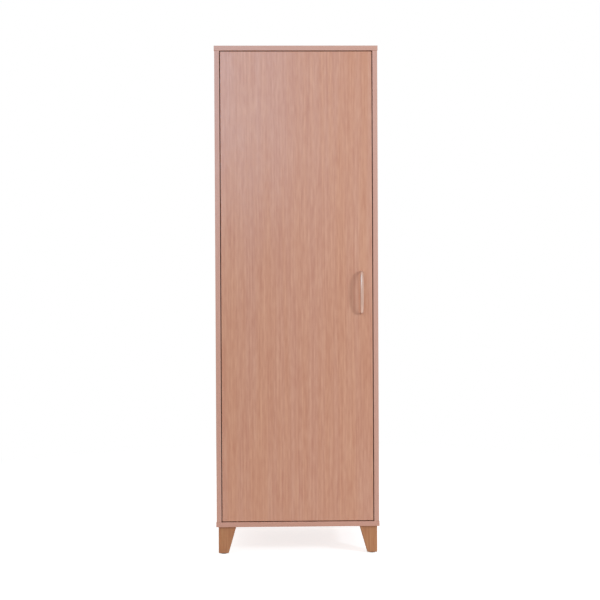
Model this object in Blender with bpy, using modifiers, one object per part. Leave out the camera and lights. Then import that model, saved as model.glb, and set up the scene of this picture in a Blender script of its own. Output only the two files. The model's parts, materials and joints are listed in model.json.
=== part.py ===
"""A one-door wardrobe on tapered legs, built as separate pieces.

Units are metres, +Z is up and the front faces -Y. The origin lies on the floor, at the middle of the box
round the whole wardrobe, handle included. The door swings about the empty named door_axis, on three
concealed cup hinges at its left edge. Each hinge turns on one pin inside its cup, and a gooseneck arm
reaches round the edge of the open door to a plate on the side panel.
"""

import math

import bmesh
import bpy
from mathutils import Matrix, Vector

# Fits
SEAT = 0.0003  # gap between two pieces that touch
HOLE_CLEARANCE = 0.0003  # round a pin or a screw in its hole

# Case
CASE_WIDTH = 0.600  # across the top and bottom boards
CASE_HEIGHT = 1.764  # underside of the bottom board to the top of the top board
CASE_DEPTH = 0.520
FLOOR_CLEARANCE = 0.101  # floor to the underside of the bottom board
BOARD = 0.018
BOARD_OVERHANG = 0.0015  # of the top and bottom boards past each side panel
BOARD_ROUND = 0.0008  # rounding of the boards' edges
BACK_THICKNESS = 0.003
BACK_INSET = 0.012  # rear edges of the case to the rear of the back panel
GROOVE_DEPTH = 0.006  # that the back panel slides in
GROOVE_END_GAP = 0.0005  # between the back panel's edge and the bottom of its groove

# Every screw, as shares of its own head and shank
SCREW_FLAT = 0.6  # radius of the flat on top of the head
SCREW_DOME = 0.4  # height of the dome round that flat
SCREW_POINT = 0.5  # radius of the shank's end

# Screws that hold the top and bottom boards to the side panels
CASE_SCREW_SETBACK = 0.100  # from the case's front and rear edges
CASE_SCREW_RADIUS = 0.0035
CASE_SCREW_LENGTH = 0.050
CASE_SCREW_TIP = 0.005  # length of the pointed end
CASE_SCREW_HEAD_RADIUS = 0.005
CASE_SCREW_HEAD_DEPTH = 0.004  # sunk into the board
HEX_KEY_RADIUS = 0.0023  # to the corners of the hexagonal socket
HEX_KEY_DEPTH = 0.0025

# Legs
LEG_TOP = 0.065  # side of the square at the top
LEG_BOTTOM = 0.037  # side of the square at the bottom
LEG_INSET = 0.008  # bottom board's edges to the leg's upright outer faces
LEG_ROUND = 0.003
LEG_BOLT_RADIUS = 0.004
LEG_BOLT_IN_LEG = 0.036
LEG_BOLT_IN_BOARD = 0.012
LEG_BOLT_CHAMFER = 0.001
GLIDE_RADIUS = 0.012
GLIDE_HEIGHT = 0.003
GLIDE_ROUND = 0.001
GLIDE_STEM_RADIUS = 0.002
GLIDE_STEM_LENGTH = 0.012

# Inside
SHELF_BELOW_TOP = 0.300  # clear height over the hat shelf
SHELF_SIDE_GAP = 0.001
SHELF_BACK_GAP = 0.002
SHELF_DOOR_GAP = 0.025  # door's back to the shelf's front edge
PIN_PITCH = 0.032  # between the shelf pin holes of a row
PIN_HOLES = 5  # in each row, with the shelf on the middle one
PIN_ROW_SETBACK = 0.060  # rows to the shelf's front and rear edges
PIN_RADIUS = 0.0024
PIN_IN_PANEL = 0.008
PIN_REST_RADIUS = 0.0035
PIN_REST_LENGTH = 0.009
PIN_ROUND = 0.001
RAIL_RADIUS = 0.0125
RAIL_WALL = 0.0012
RAIL_BELOW_SHELF = 0.050  # shelf's underside to the rail's axis
SOCKET_FLANGE_RADIUS = 0.022
SOCKET_FLANGE = 0.004
SOCKET_WALL = 0.0025
SOCKET_DEPTH = 0.012  # that the rail reaches into
SOCKET_ROUND = 0.001

# Door
DOOR_THICKNESS = 0.018
DOOR_GAP = 0.003  # round the door
DOOR_RECESS = 0.002  # case's front edges to the door's face

# Handle
HANDLE_HEIGHT = 0.960  # floor to the handle's middle
HANDLE_EDGE_DISTANCE = 0.040  # door's opening edge to the handle
HANDLE_HOLE_SPACING = 0.152
HANDLE_PROJECTION = 0.032  # foot to the outside of the bow
HANDLE_WIDTH = 0.0125  # across the bow's middle
HANDLE_THICKNESS = 0.009  # of the bow's middle
HANDLE_FOOT_THICKNESS = 0.0068
HANDLE_FOOT_LENGTH = 0.006  # straight stretch at each foot
HANDLE_FULLNESS = 2.2  # exponent of the bow's curve: 2 is an ellipse, and more is squarer
HANDLE_SCREW_RADIUS = 0.002
HANDLE_SCREW_GRIP = 0.0052  # length inside the handle's foot
HANDLE_SCREW_HEAD_RADIUS = 0.004
HANDLE_SCREW_HEAD = 0.0025

# Hinge cups
HINGE_END_DISTANCE = 0.110  # door's ends to the outer hinges
CUP_RADIUS = 0.0175
CUP_EDGE = 0.005  # door's hinge edge to the cup
CUP_WALL = 0.001
CUP_WOOD = 0.004  # wood left in front of the cup
CUP_FLOOR_GAP = 0.0006  # cup's floor to the arm's eye
CUP_FLANGE = 0.0012
CUP_FLANGE_REACH = 0.0015  # of the round flange past the cup
CUP_WING = 0.0008  # thickness of the wings that carry the dowels
CUP_WING_WIDTH = 0.012
CUP_WING_ROUND = 0.0048
CUP_WING_SPAN = 0.056
CUP_DOWEL_SPACING = 0.045
CUP_DOWEL_OFFSET = 0.0095  # from the cup's middle, away from the hinge edge
CUP_DOWEL_RADIUS = 0.004
CUP_DOWEL_LENGTH = 0.011
HINGE_PIN_RADIUS = 0.0015
HINGE_PIN_CHAMFER = 0.0003

# Hinge arms and plates
SWING_CLEARANCE = 0.001  # least gap between the turning door's front corner and the side panel
SWEEP_CLEARANCE = 0.001  # arm's bend to the path of the door's rear corner
ARM_EYE_RADIUS = 0.0029
ARM_WIDTH = 0.011
ARM_THICKNESS = 0.0036
ARM_BEND = 0.006
NECK_CLEARANCE = 0.0018  # neck to the far wall of the cup
CHANNEL_WALL = 0.0016  # of the arm where it straddles the plate's ridge
ARM_LEAD = 0.003  # plate's ends to the arm's straight stretch
ARM_SCREW_RADIUS = 0.0022
ARM_SCREW_SETBACK = 0.008  # from the arm's rear end
ARM_SCREW_GRIP = 0.0032  # length inside the plate's ridge
ARM_SCREW_HEAD_RADIUS = 0.0045
ARM_SCREW_HEAD = 0.0022
PLATE_LINE = 0.037  # door's back to the line of the plate's screws
PLATE_FRONT_REACH = 0.013  # from that line
PLATE_REAR_REACH = 0.034
PLATE_BASE = 0.002
PLATE_RIDGE = 0.004  # above the base
PLATE_RIDGE_WIDTH = 0.011
PLATE_STEM_WIDTH = 0.020
PLATE_WING_WIDTH = 0.013
PLATE_SPAN = 0.046
PLATE_ROUND = 0.003
PLATE_HOLE_SPACING = 0.032
PLATE_SCREW_RADIUS = 0.0028
PLATE_SCREW_GRIP = 0.011  # length inside the side panel
PLATE_SCREW_HEAD_RADIUS = 0.0048
PLATE_SCREW_HEAD = 0.002

# Fineness of round shapes
TURN_STEPS = 20
SMALL_TURN_STEPS = 12
HOLE_SIDES = 12
ARC_STEP = math.radians(22.5)
EDGE_SEGMENTS = 2
HANDLE_POINTS = 20
HANDLE_BEVEL = 4
MERGE = 0.00001
FLAT_ANGLE = math.radians(0.5)  # faces that meet at less are one flat face
CUTTER_SPARE = 0.005  # that a cutter stands out of an open end

# Directions of a turned piece's own +Z
UP = (0.0, 0.0, 0.0)
DOWN = (math.pi, 0.0, 0.0)
RIGHT = (0.0, math.pi / 2, 0.0)
LEFT = (0.0, -math.pi / 2, 0.0)
FRONT = (math.pi / 2, 0.0, 0.0)
BACK = (-math.pi / 2, 0.0, 0.0)

# Case planes
side_outer = CASE_WIDTH / 2 - BOARD_OVERHANG
side_inner = side_outer - BOARD
case_bottom = FLOOR_CLEARANCE
case_top = FLOOR_CLEARANCE + CASE_HEIGHT
inside_bottom = case_bottom + BOARD
inside_top = case_top - BOARD
handle_reach = SEAT + HANDLE_PROJECTION - DOOR_RECESS
case_front = (handle_reach - CASE_DEPTH) / 2
case_back = case_front + CASE_DEPTH
back_rear = case_back - BACK_INSET
back_face = back_rear - BACK_THICKNESS

# Door planes
door_front = case_front + DOOR_RECESS
door_back = door_front + DOOR_THICKNESS
door_left = DOOR_GAP - side_inner
door_right = side_inner - DOOR_GAP
door_bottom = inside_bottom + DOOR_GAP
door_top = inside_top - DOOR_GAP

# The hinge axis lies just behind the cup's floor, and far enough from the side panel for the door's front
# corner to turn past it: the corner's distance from the axis is the axis's inset less SWING_CLEARANCE.
axis_depth = CUP_WOOD + CUP_WALL + CUP_FLOOR_GAP + ARM_EYE_RADIUS
axis_inset = (DOOR_GAP**2 + axis_depth**2 - SWING_CLEARANCE**2) / (2 * (DOOR_GAP - SWING_CLEARANCE))
axis_x = axis_inset - side_inner
axis_y = door_front + axis_depth
cup_x = door_left + CUP_EDGE + CUP_RADIUS
cup_inner_radius = CUP_RADIUS - CUP_WALL
cup_depth = DOOR_THICKNESS - CUP_WOOD

# Hinge plate planes: x from the side panel's inner face, y in the world
plate_top = SEAT + PLATE_BASE
ridge_top = plate_top + PLATE_RIDGE
web_low = ridge_top + SEAT
web_top = web_low + ARM_THICKNESS
plate_line_y = door_back + PLATE_LINE
plate_front_y = plate_line_y - PLATE_FRONT_REACH
plate_rear_y = plate_line_y + PLATE_REAR_REACH

# Shelf planes
shelf_top = inside_top - SHELF_BELOW_TOP
shelf_bottom = shelf_top - BOARD
shelf_front = door_back + SHELF_DOOR_GAP
shelf_back = back_face - SHELF_BACK_GAP
rail_z = shelf_bottom - RAIL_BELOW_SHELF
rail_y = (door_back + back_face) / 2

# What repeats
SIDES = {"left": -1, "right": 1}
CORNERS = [(end, side) for end in ("front", "rear") for side in SIDES]
HINGE_HEIGHTS = {
    "lower": door_bottom + HINGE_END_DISTANCE,
    "middle": (door_bottom + door_top) / 2,
    "upper": door_top - HINGE_END_DISTANCE,
}
HANDLE_HOLES = {
    "lower": HANDLE_HEIGHT - HANDLE_HOLE_SPACING / 2,
    "upper": HANDLE_HEIGHT + HANDLE_HOLE_SPACING / 2,
}
handle_x = door_right - HANDLE_EDGE_DISTANCE


def clear_scene():
    for obj in list(bpy.data.objects):
        bpy.data.objects.remove(obj)


def add_collection(name):
    made = bpy.data.collections.new(name)
    bpy.context.scene.collection.children.link(made)
    return made


def linear(red, green, blue):
    """A screen colour, 0 to 255, as the linear values that a shader takes."""
    shares = [value / 255 for value in (red, green, blue)]
    return [s / 12.92 if s <= 0.04045 else ((s + 0.055) / 1.055) ** 2.4 for s in shares]


def add_finish(name, colour, roughness, metallic=0.0):
    finish = bpy.data.materials.new(name)
    finish.use_nodes = True
    shader = finish.node_tree.nodes["Principled BSDF"]
    shader.inputs["Base Color"].default_value = (*linear(*colour), 1.0)
    shader.inputs["Roughness"].default_value = roughness
    shader.inputs["Metallic"].default_value = metallic
    return finish


def place(name, mesh, finish=None, location=(0.0, 0.0, 0.0), direction=UP, on_door=False):
    """Adds a mesh as a piece of the wardrobe or, with no finish, as a cutter or another helper."""
    obj = bpy.data.objects.new(name, mesh)
    obj.location = location
    obj.rotation_euler = direction
    if on_door:
        obj.parent = door_axis
        obj.location = Vector(location) - door_axis.location
    if finish:
        mesh.materials.append(finish)
        pieces.objects.link(obj)
    else:
        helpers.objects.link(obj)
        obj.hide_render = True
        obj.display_type = "WIRE"
    return obj


def mesh_of(name, shape):
    """The mesh of a bmesh, which is freed."""
    mesh = bpy.data.meshes.new(name)
    bmesh.ops.recalc_face_normals(shape, faces=shape.faces)
    shape.to_mesh(mesh)
    shape.free()
    return mesh


def box(name, low, high, finish=None, on_door=False):
    size = Vector(high) - Vector(low)
    middle = (Vector(high) + Vector(low)) / 2
    shape = bmesh.new()
    bmesh.ops.create_cube(shape, size=1.0, matrix=Matrix.Diagonal((*size, 1.0)))
    return place(name, mesh_of(name, shape), finish, middle, on_door=on_door)


def rod(name, radius, length, start, direction, on_door=False, sides=HOLE_SIDES):
    """A round helper, or one of few sides, that runs from its start in a direction."""
    shape = bmesh.new()
    bmesh.ops.create_cone(
        shape,
        cap_ends=True,
        segments=sides,
        radius1=radius,
        radius2=radius,
        depth=length,
        matrix=Matrix.Translation((0.0, 0.0, length / 2)),
    )
    return place(name, mesh_of(name, shape), None, start, direction, on_door)


def turned(
    name, profile, finish, location, direction=UP, on_door=False, ring=False, steps=TURN_STEPS
):
    """A turned piece. Its profile of (radius, height) runs down the outer side, and a ring's closes."""
    mesh = bpy.data.meshes.new(name)
    points = [(radius, 0.0, height) for radius, height in profile]
    edges = [(i, i + 1) for i in range(len(points) - 1)]
    if ring:
        edges.append((len(points) - 1, 0))
    mesh.from_pydata(points, edges, [])
    obj = place(name, mesh, finish, location, direction, on_door)
    turn = obj.modifiers.new("turn", "SCREW")
    turn.steps = steps
    turn.render_steps = steps
    turn.use_merge_vertices = True
    turn.merge_threshold = MERGE
    turn.use_smooth_shade = True
    return obj


def small_turned(name, profile, finish, location, direction=UP, on_door=False):
    """A turned piece of few steps, for what is small or mostly hidden."""
    return turned(name, profile, finish, location, direction, on_door, steps=SMALL_TURN_STEPS)


def solid_of_curve(name, curve):
    """A curve's solid as a closed mesh."""
    guide = bpy.data.objects.new(name, curve)
    bpy.context.scene.collection.objects.link(guide)
    graph = bpy.context.evaluated_depsgraph_get()
    mesh = bpy.data.meshes.new_from_object(guide.evaluated_get(graph))
    bpy.data.objects.remove(guide)
    shape = bmesh.new()
    shape.from_mesh(mesh)
    bmesh.ops.remove_doubles(shape, verts=shape.verts, dist=MERGE)
    bmesh.ops.dissolve_degenerate(shape, dist=MERGE, edges=shape.edges)
    bmesh.ops.dissolve_limit(shape, angle_limit=FLAT_ANGLE, verts=shape.verts, edges=shape.edges)
    return mesh_of(name, shape)


def slab(name, outline, thickness):
    """The mesh of a flat outline of (x, y) points, thickened evenly to both sides."""
    curve = bpy.data.curves.new(name, "CURVE")
    curve.dimensions = "2D"
    curve.fill_mode = "BOTH"
    curve.extrude = thickness / 2
    spline = curve.splines.new("POLY")
    spline.points.add(len(outline) - 1)
    for point, (x, y) in zip(spline.points, outline):
        point.co = (x, y, 0.0, 1.0)
    spline.use_cyclic_u = True
    return solid_of_curve(name, curve)


def rounded(corners, is_open=False):
    """Points of a line through corners of (x, y, radius), with an arc at each corner that has a radius."""
    points = []
    for i, (x, y, radius) in enumerate(corners):
        here = Vector((x, y))
        if radius == 0 or (is_open and i in (0, len(corners) - 1)):
            points.append(here)
            continue
        to_last = (Vector(corners[i - 1][:2]) - here).normalized()
        to_next = (Vector(corners[(i + 1) % len(corners)][:2]) - here).normalized()
        half = to_last.angle(to_next) / 2
        centre = here + (to_last + to_next).normalized() * radius / math.sin(half)
        first = here + to_last * radius / math.tan(half) - centre
        last = here + to_next * radius / math.tan(half) - centre
        sweep = first.angle(last) * math.copysign(1, first.cross(last))
        steps = max(2, round(abs(sweep) / ARC_STEP))
        points += [centre + Matrix.Rotation(sweep * k / steps, 2) @ first for k in range(steps + 1)]
    return points


def strip(path, thickness):
    """The outline of a strip of even thickness along an open path."""
    left = []
    right = []
    for i, here in enumerate(path):
        along = (path[min(i + 1, len(path) - 1)] - path[max(i - 1, 0)]).normalized()
        across = Vector((-along.y, along.x)) * thickness / 2
        left.append(here + across)
        right.append(here - across)
    return left + right[::-1]


def combine(obj, operation, others):
    """Cuts or joins an object with all its helpers of one kind at once, as one group and one Boolean."""
    group_name = f"{obj.name}_{operation.lower()}"
    group = bpy.data.collections.get(group_name)
    if not group:
        group = bpy.data.collections.new(group_name)
        helpers.children.link(group)
        boolean = obj.modifiers.new(operation.lower(), "BOOLEAN")
        boolean.operation = operation
        boolean.operand_type = "COLLECTION"
        boolean.collection = group
    for other in others:
        group.objects.link(other)


def cut(obj, *cutters):
    combine(obj, "DIFFERENCE", cutters)


def join(obj, *additions):
    combine(obj, "UNION", additions)


def round_edges(obj, width):
    bevel = obj.modifiers.new("rounded edges", "BEVEL")
    bevel.width = width
    bevel.segments = EDGE_SEGMENTS


def screw_profile(head_radius, head, radius, length, tip=0.0):
    """A screw with its head's underside at height 0 and a domed head above it."""
    return [
        (0.0, head),
        (SCREW_FLAT * head_radius, head),
        (head_radius, head - SCREW_DOME * head),
        (head_radius, 0.0),
        (radius, 0.0),
        (radius, tip - length),
        (SCREW_POINT * radius, -length),
        (0.0, -length),
    ]


def board(name, low, high, finish, on_door=False):
    made = box(name, low, high, finish, on_door)
    round_edges(made, BOARD_ROUND)
    return made


def make_boards():
    """The case's boards, each cut for what it carries. Returns them by name."""
    boards = {}
    for name, low, high in (("bottom", case_bottom, inside_bottom), ("top", inside_top, case_top)):
        boards[name] = board(
            f"{name}_panel",
            (-CASE_WIDTH / 2, case_front, low),
            (CASE_WIDTH / 2, case_back, high),
            laminate,
        )
    for side, sign in SIDES.items():
        across = sorted((sign * side_inner, sign * side_outer))
        boards[side] = board(
            f"{side}_side_panel",
            (across[0], case_front, inside_bottom + SEAT),
            (across[1], case_back, inside_top - SEAT),
            laminate,
        )
    return boards


def make_back(boards):
    """The back panel, and the groove round the inside of the case that holds it."""
    reach = GROOVE_DEPTH - GROOVE_END_GAP
    box(
        "back_panel",
        (-side_inner - reach, back_face, inside_bottom - reach),
        (side_inner + reach, back_rear, inside_top + reach),
        hardboard,
    )
    groove = box(
        "back_groove",
        (-side_inner - GROOVE_DEPTH, back_face - SEAT, inside_bottom - GROOVE_DEPTH),
        (side_inner + GROOVE_DEPTH, back_rear + SEAT, inside_top + GROOVE_DEPTH),
    )
    for made in boards.values():
        cut(made, groove)


def make_case_screws(boards):
    """Connecting screws, sunk into the top and bottom boards and driven into the side panels' ends."""
    rows = {"front": case_front + CASE_SCREW_SETBACK, "rear": case_back - CASE_SCREW_SETBACK}
    faces = {"bottom": (case_bottom, DOWN, UP, 1), "top": (case_top, UP, DOWN, -1)}
    sunk = CASE_SCREW_HEAD_DEPTH + SEAT
    for level, (face, outward, inward, sign) in faces.items():
        for end, side in CORNERS:
            name = f"case_screw_{level}_{end}_{side}"
            x = SIDES[side] * (side_outer - BOARD / 2)
            seat = (x, rows[end], face + sign * sunk)
            screw = small_turned(
                name,
                screw_profile(
                    CASE_SCREW_HEAD_RADIUS,
                    CASE_SCREW_HEAD_DEPTH,
                    CASE_SCREW_RADIUS,
                    CASE_SCREW_LENGTH - CASE_SCREW_HEAD_DEPTH,
                    CASE_SCREW_TIP,
                ),
                steel,
                seat,
                outward,
            )
            socket_floor = (x, rows[end], face + sign * (SEAT + HEX_KEY_DEPTH))
            cut(screw, rod(f"{name}_socket", HEX_KEY_RADIUS, CUTTER_SPARE, socket_floor, outward, sides=6))
            mouth = (x, rows[end], face - sign * CUTTER_SPARE)
            hole = rod(
                f"{name}_hole",
                CASE_SCREW_RADIUS + HOLE_CLEARANCE,
                CUTTER_SPARE + CASE_SCREW_LENGTH + 2 * SEAT,
                mouth,
                inward,
            )
            sink = rod(
                f"{name}_sink",
                CASE_SCREW_HEAD_RADIUS + HOLE_CLEARANCE,
                CUTTER_SPARE + sunk + SEAT,
                mouth,
                inward,
            )
            cut(boards[level], hole, sink)
            cut(boards[side], hole)


def make_leg(name, corner, inward):
    """A leg that tapers on its two inner faces. Its corner is the outer one, on the floor's plane."""
    low = GLIDE_HEIGHT + SEAT
    high = FLOOR_CLEARANCE - SEAT
    shape = bmesh.new()
    bmesh.ops.create_cube(shape, size=1.0)
    for vertex in shape.verts:
        is_top = vertex.co.z > 0
        side = LEG_TOP if is_top else LEG_BOTTOM
        reach = [side * way if value > 0 else 0.0 for value, way in zip(vertex.co, inward)]
        vertex.co = (*reach, high if is_top else low)
    leg = place(name, mesh_of(name, shape), leg_wood, (*corner, 0.0))
    round_edges(leg, LEG_ROUND)
    return leg


def make_legs(bottom_board):
    """Four legs, each with the bolt that joins it to the bottom board and a glide under it."""
    bolt_profile = [
        (0.0, LEG_BOLT_IN_BOARD),
        (LEG_BOLT_RADIUS - LEG_BOLT_CHAMFER, LEG_BOLT_IN_BOARD),
        (LEG_BOLT_RADIUS, LEG_BOLT_IN_BOARD - LEG_BOLT_CHAMFER),
        (LEG_BOLT_RADIUS, LEG_BOLT_CHAMFER - LEG_BOLT_IN_LEG),
        (LEG_BOLT_RADIUS - LEG_BOLT_CHAMFER, -LEG_BOLT_IN_LEG),
        (0.0, -LEG_BOLT_IN_LEG),
    ]
    glide_profile = [
        (0.0, GLIDE_HEIGHT + GLIDE_STEM_LENGTH),
        (GLIDE_STEM_RADIUS, GLIDE_HEIGHT + GLIDE_STEM_LENGTH - GLIDE_STEM_RADIUS),
        (GLIDE_STEM_RADIUS, GLIDE_HEIGHT),
        (GLIDE_RADIUS, GLIDE_HEIGHT),
        (GLIDE_RADIUS, GLIDE_ROUND),
        (GLIDE_RADIUS - GLIDE_ROUND, 0.0),
        (0.0, 0.0),
    ]
    corner_x = CASE_WIDTH / 2 - LEG_INSET
    corner_y = {"front": case_front + LEG_INSET, "rear": case_back - LEG_INSET}
    for end, side in CORNERS:
        name = f"leg_{end}_{side}"
        corner = Vector((SIDES[side] * corner_x, corner_y[end]))
        inward = Vector((-SIDES[side], 1 if end == "front" else -1))
        leg = make_leg(name, corner, inward)
        bolt_spot = (*(corner + inward * LEG_TOP / 2), case_bottom)
        glide_spot = (*(corner + inward * LEG_BOTTOM / 2), 0.0)
        small_turned(f"{name}_bolt", bolt_profile, steel, bolt_spot)
        small_turned(f"{name}_glide", glide_profile, black_plastic, glide_spot)
        bolt_low = (*bolt_spot[:2], case_bottom - LEG_BOLT_IN_LEG - SEAT)
        bolt_hole = rod(
            f"{name}_bolt_hole",
            LEG_BOLT_RADIUS + HOLE_CLEARANCE,
            LEG_BOLT_IN_LEG + LEG_BOLT_IN_BOARD + 2 * SEAT,
            bolt_low,
            UP,
        )
        stem_hole = rod(
            f"{name}_stem_hole",
            GLIDE_STEM_RADIUS + HOLE_CLEARANCE,
            GLIDE_HEIGHT + GLIDE_STEM_LENGTH + SEAT,
            glide_spot,
            UP,
        )
        cut(leg, bolt_hole, stem_hole)
        cut(bottom_board, bolt_hole)


def make_shelf(boards):
    """The hat shelf on four pins, with a row of holes for them at each corner."""
    board(
        "hat_shelf",
        (SHELF_SIDE_GAP - side_inner, shelf_front, shelf_bottom),
        (side_inner - SHELF_SIDE_GAP, shelf_back, shelf_top),
        laminate,
    )
    pin_profile = [
        (0.0, PIN_REST_LENGTH),
        (PIN_REST_RADIUS - PIN_ROUND, PIN_REST_LENGTH),
        (PIN_REST_RADIUS, PIN_REST_LENGTH - PIN_ROUND),
        (PIN_REST_RADIUS, SEAT),
        (PIN_RADIUS, SEAT),
        (PIN_RADIUS, -PIN_IN_PANEL),
        (0.0, -PIN_IN_PANEL),
    ]
    rows = {"front": shelf_front + PIN_ROW_SETBACK, "rear": shelf_back - PIN_ROW_SETBACK}
    inward = {"left": RIGHT, "right": LEFT}
    outward = {"left": LEFT, "right": RIGHT}
    pin_z = shelf_bottom - SEAT - PIN_REST_RADIUS
    for end, side in CORNERS:
        face_x = SIDES[side] * side_inner
        small_turned(f"shelf_pin_{end}_{side}", pin_profile, nickel, (face_x, rows[end], pin_z), inward[side])
        for i in range(PIN_HOLES):
            z = pin_z + (i - PIN_HOLES // 2) * PIN_PITCH
            mouth_x = SIDES[side] * (side_inner - CUTTER_SPARE)
            hole = rod(
                f"shelf_pin_hole_{end}_{side}_{i}",
                PIN_RADIUS + HOLE_CLEARANCE,
                CUTTER_SPARE + PIN_IN_PANEL + SEAT,
                (mouth_x, rows[end], z),
                outward[side],
            )
            cut(boards[side], hole)


def make_rail():
    """The hanging rail, a tube whose ends lie in two sockets on the side panels."""
    socket_inner = RAIL_RADIUS + HOLE_CLEARANCE
    socket_outer = socket_inner + SOCKET_WALL
    mouth = SEAT + SOCKET_FLANGE + SOCKET_DEPTH
    socket_profile = [
        (0.0, SEAT + SOCKET_FLANGE),
        (socket_inner, SEAT + SOCKET_FLANGE),
        (socket_inner, mouth),
        (socket_outer - SOCKET_ROUND, mouth),
        (socket_outer, mouth - SOCKET_ROUND),
        (socket_outer, SEAT + SOCKET_FLANGE),
        (SOCKET_FLANGE_RADIUS - SOCKET_ROUND, SEAT + SOCKET_FLANGE),
        (SOCKET_FLANGE_RADIUS, SEAT + SOCKET_FLANGE - SOCKET_ROUND),
        (SOCKET_FLANGE_RADIUS, SEAT),
        (0.0, SEAT),
    ]
    turned("rail_socket_left", socket_profile, nickel, (-side_inner, rail_y, rail_z), RIGHT)
    turned("rail_socket_right", socket_profile, nickel, (side_inner, rail_y, rail_z), LEFT)
    half = side_inner - SOCKET_FLANGE - 2 * SEAT
    rail_profile = [
        (RAIL_RADIUS, half),
        (RAIL_RADIUS, -half),
        (RAIL_RADIUS - RAIL_WALL, -half),
        (RAIL_RADIUS - RAIL_WALL, half),
    ]
    turned("hanging_rail", rail_profile, chrome, (0.0, rail_y, rail_z), RIGHT, ring=True)


def make_door():
    return board(
        "door_panel",
        (door_left, door_front, door_bottom),
        (door_right, door_back, door_top),
        laminate,
        on_door=True,
    )


def handle_path():
    """Points along the handle's middle as (distance from the foot's face, height, thickness)."""
    half = HANDLE_HOLE_SPACING / 2
    rise = HANDLE_PROJECTION - HANDLE_FOOT_LENGTH - HANDLE_THICKNESS / 2
    points = [(0.0, -half, HANDLE_FOOT_THICKNESS)]
    for i in range(HANDLE_POINTS + 1):
        angle = math.pi * i / HANDLE_POINTS
        along = -math.cos(angle)
        height = half * math.copysign(abs(along) ** (2 / HANDLE_FULLNESS), along)
        bulge = max(math.sin(angle), 0.0) ** (2 / HANDLE_FULLNESS)
        thickness = HANDLE_FOOT_THICKNESS + (HANDLE_THICKNESS - HANDLE_FOOT_THICKNESS) * bulge
        points.append((HANDLE_FOOT_LENGTH + rise * bulge, height, thickness))
    points.append((0.0, half, HANDLE_FOOT_THICKNESS))
    return points


def make_handle(door):
    """The bow handle, and the two screws that hold it through the door."""
    path = handle_path()
    curve = bpy.data.curves.new("door_handle", "CURVE")
    curve.dimensions = "3D"
    curve.bevel_depth = HANDLE_THICKNESS / 2
    curve.bevel_resolution = HANDLE_BEVEL
    curve.use_fill_caps = True
    spline = curve.splines.new("POLY")
    spline.points.add(len(path) - 1)
    for point, (out, height, thickness) in zip(spline.points, path):
        point.co = (0.0, -out, height, 1.0)
        point.radius = thickness / HANDLE_THICKNESS
    mesh = solid_of_curve("door_handle", curve)
    mesh.transform(Matrix.Diagonal((HANDLE_WIDTH / HANDLE_THICKNESS, 1.0, 1.0, 1.0)))
    mesh.shade_smooth()
    foot = (handle_x, door_front - SEAT, HANDLE_HEIGHT)
    handle = place("door_handle", mesh, handle_metal, foot, on_door=True)
    for end, z in HANDLE_HOLES.items():
        name = f"handle_screw_{end}"
        screw_length = SEAT + DOOR_THICKNESS + SEAT + HANDLE_SCREW_GRIP
        profile = screw_profile(
            HANDLE_SCREW_HEAD_RADIUS, HANDLE_SCREW_HEAD, HANDLE_SCREW_RADIUS, screw_length
        )
        small_turned(name, profile, steel, (handle_x, door_back + SEAT, z), BACK, on_door=True)
        hole = rod(
            f"{name}_hole",
            HANDLE_SCREW_RADIUS + HOLE_CLEARANCE,
            CUTTER_SPARE + screw_length + SEAT,
            (handle_x, door_back + CUTTER_SPARE, z),
            FRONT,
            on_door=True,
        )
        cut(handle, hole)
        cut(door, hole)


def make_cup(name, door, z):
    """A hinge cup in the door's back: a turned bowl with a round flange, two wings and a dowel in each."""
    profile = [
        (0.0, CUP_WALL - cup_depth),
        (cup_inner_radius, CUP_WALL - cup_depth),
        (cup_inner_radius, SEAT + CUP_FLANGE),
        (CUP_RADIUS + CUP_FLANGE_REACH, SEAT + CUP_FLANGE),
        (CUP_RADIUS + CUP_FLANGE_REACH, SEAT),
        (CUP_RADIUS, SEAT),
        (CUP_RADIUS, -cup_depth),
        (0.0, -cup_depth),
    ]
    spot = Vector((cup_x, door_back, z))
    cup = turned(name, profile, nickel, spot, BACK, on_door=True)
    wing_y = SEAT + CUP_FLANGE / 2
    wing_corners = [
        (CUP_DOWEL_OFFSET + right * CUP_WING_WIDTH / 2, up * CUP_WING_SPAN / 2, CUP_WING_ROUND)
        for right, up in ((-1, -1), (1, -1), (1, 1), (-1, 1))
    ]
    wings = place(
        f"{name}_wings",
        slab(f"{name}_wings", rounded(wing_corners), CUP_WING),
        None,
        spot + Vector((0.0, wing_y, 0.0)),
        BACK,
        on_door=True,
    )
    join(cup, wings)
    for end, way in (("lower", -1), ("upper", 1)):
        dowel_spot = spot + Vector((CUP_DOWEL_OFFSET, wing_y, way * CUP_DOWEL_SPACING / 2))
        dowel = rod(
            f"{name}_dowel_{end}",
            CUP_DOWEL_RADIUS,
            CUP_DOWEL_LENGTH + wing_y,
            dowel_spot,
            FRONT,
            on_door=True,
        )
        dowel_hole = rod(
            f"{name}_dowel_hole_{end}",
            CUP_DOWEL_RADIUS + HOLE_CLEARANCE,
            CUP_DOWEL_LENGTH + wing_y + SEAT,
            dowel_spot,
            FRONT,
            on_door=True,
        )
        join(cup, dowel)
        cut(door, dowel_hole)
    mouth = spot + Vector((0.0, CUTTER_SPARE, 0.0))
    wing_hole = rod(
        f"{name}_wing_hole",
        CUP_RADIUS - CUP_WALL / 2,
        2 * CUTTER_SPARE,
        mouth,
        FRONT,
        on_door=True,
        sides=TURN_STEPS,
    )
    bore = rod(
        f"{name}_bore",
        CUP_RADIUS + HOLE_CLEARANCE,
        CUTTER_SPARE + cup_depth + SEAT,
        mouth,
        FRONT,
        on_door=True,
        sides=TURN_STEPS,
    )
    cut(wings, wing_hole)
    cut(door, bore)
    return cup


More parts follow.
